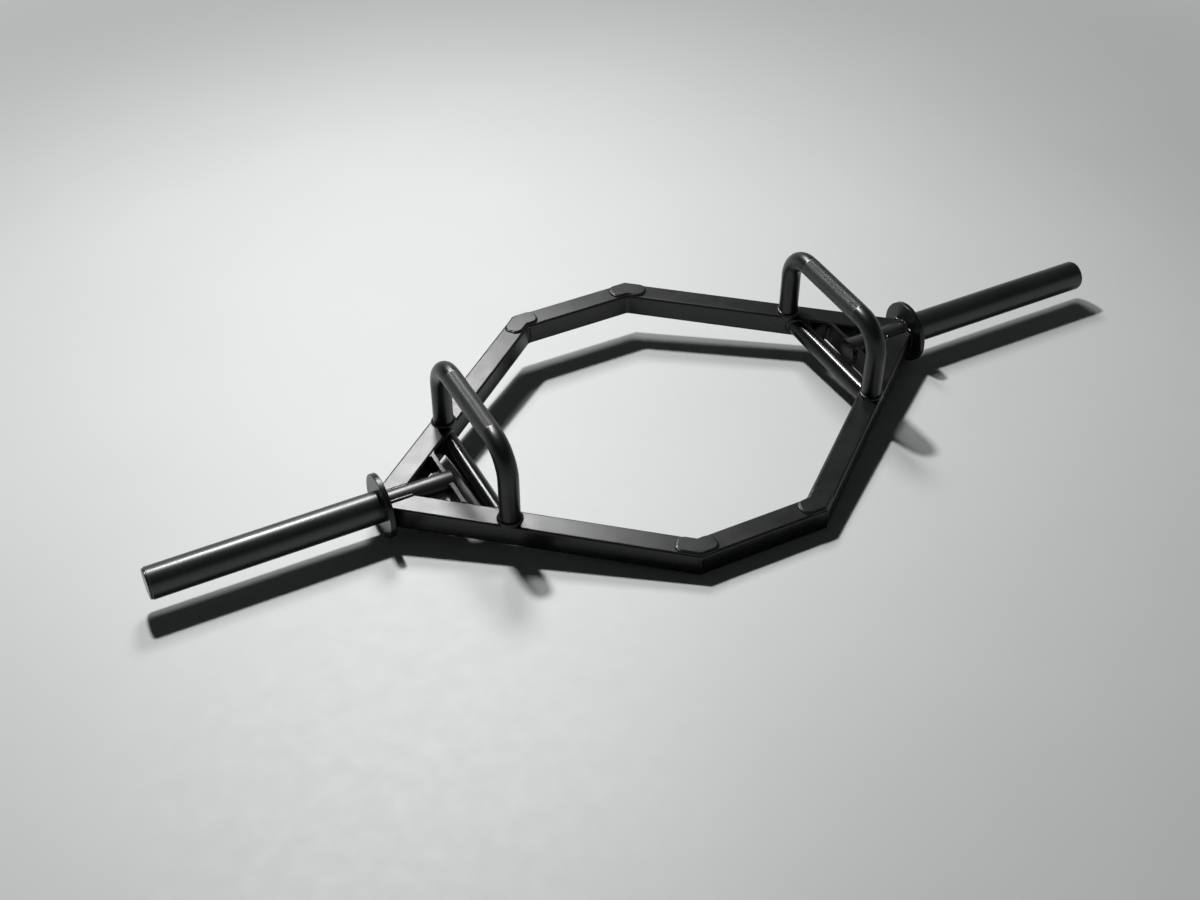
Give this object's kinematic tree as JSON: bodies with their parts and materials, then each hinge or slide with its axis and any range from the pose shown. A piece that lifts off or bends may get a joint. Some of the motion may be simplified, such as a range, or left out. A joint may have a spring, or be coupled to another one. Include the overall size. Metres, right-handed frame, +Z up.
{
  "type": "hex trap bar",
  "caption": "Six-sided lifting frame of black square tube that the lifter stands inside, with a loading sleeve at each end and low and raised grips on both sides.",
  "frame": {"origin": "on the floor under the middle of the bar as it lies on its collars' rims and its front side tube", "axes": "+X along the sleeves to the right, +Y to the rear side tube, +Z up from the floor"},
  "size_m": [1.666, 0.6504, 0.2085],
  "materials": {
    "frame_paint": "satin",
    "sleeve_paint": "satin",
    "grip_paint": "satin",
    "cap_plastic": "matt"
  },
  "bodies": {
    "root": {"rear_side_tube": "frame_paint", "front_side_tube": "frame_paint", "left_rear_diagonal_tube": "frame_paint", "left_front_diagonal_tube": "frame_paint", "right_rear_diagonal_tube": "frame_paint", "right_front_diagonal_tube": "frame_paint", "left_rear_corner_plate": "frame_paint", "left_front_corner_plate": "frame_paint", "right_rear_corner_plate": "frame_paint", "right_front_corner_plate": "frame_paint", "left_saddle_plate": "frame_paint", "right_saddle_plate": "frame_paint", "left_core_tube": "frame_paint", "right_core_tube": "frame_paint", "left_collar_disc": "frame_paint", "right_collar_disc": "frame_paint", "left_sleeve_tube": "sleeve_paint", "right_sleeve_tube": "sleeve_paint", "left_outer_end_cap": "cap_plastic", "right_outer_end_cap": "cap_plastic", "left_inner_end_cap": "cap_plastic", "right_inner_end_cap": "cap_plastic", "left_raised_grip": "grip_paint", "right_raised_grip": "grip_paint", "left_raised_grip_foot_welds": "frame_paint", "right_raised_grip_foot_welds": "frame_paint", "left_low_grip": "grip_paint", "right_low_grip": "grip_paint"}
  },
  "joints": []
}
